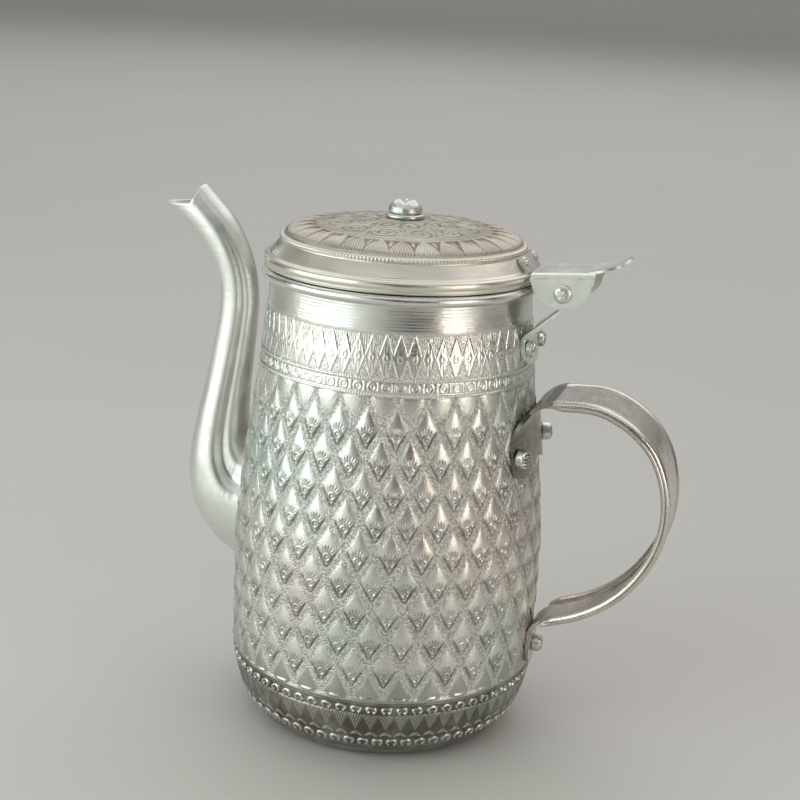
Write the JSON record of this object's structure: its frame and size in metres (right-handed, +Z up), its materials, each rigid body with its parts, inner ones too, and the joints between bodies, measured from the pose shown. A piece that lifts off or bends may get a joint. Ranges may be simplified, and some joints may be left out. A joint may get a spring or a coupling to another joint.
{
  "type": "hinged-lid coffee pot",
  "caption": "Embossed metal coffee pot with a gooseneck spout, a riveted strap handle, a domed lid with a knob, and a thumb lever on a pinned hinge.",
  "frame": {"origin": "centre of the flat foot, on the pot's axis", "axes": "+Z up along the pot's axis, -X towards the spout, +X towards the handle and the hinge, Y across the pot"},
  "size_m": [0.2251, 0.13, 0.2207],
  "materials": {
    "embossed": "bright pressed and chased aluminium, darker in the recesses",
    "lid_sheet": "bright pressed and chased aluminium, darker in the recesses",
    "spun": "polished sheet with fine marks across",
    "strap": "polished sheet with light scratches",
    "rivet": "turned and peened solid metal"
  },
  "bodies": {
    "pot": {"body": "embossed", "spout": "spun", "handle": "strap", "handle_rivet_left": "rivet", "handle_rivet_right": "rivet", "handle_rivet_lower": "rivet", "hinge_bracket": "strap", "bracket_rivet_left": "rivet", "bracket_rivet_right": "rivet", "hinge_pin": "rivet"},
    "lid": {"lid": "lid_sheet", "lid_lever": "strap", "lever_rivet_left": "rivet", "lever_rivet_right": "rivet", "knob_washer": "rivet", "knob": "rivet"}
  },
  "joints": [
    {"name": "lid_hinge", "type": "hinge", "parent": "pot", "child": "lid", "pos_m": [0.0693, 0, 0.1923], "axis": [0, 1, 0], "range_deg": [0, 90]}
  ]
}
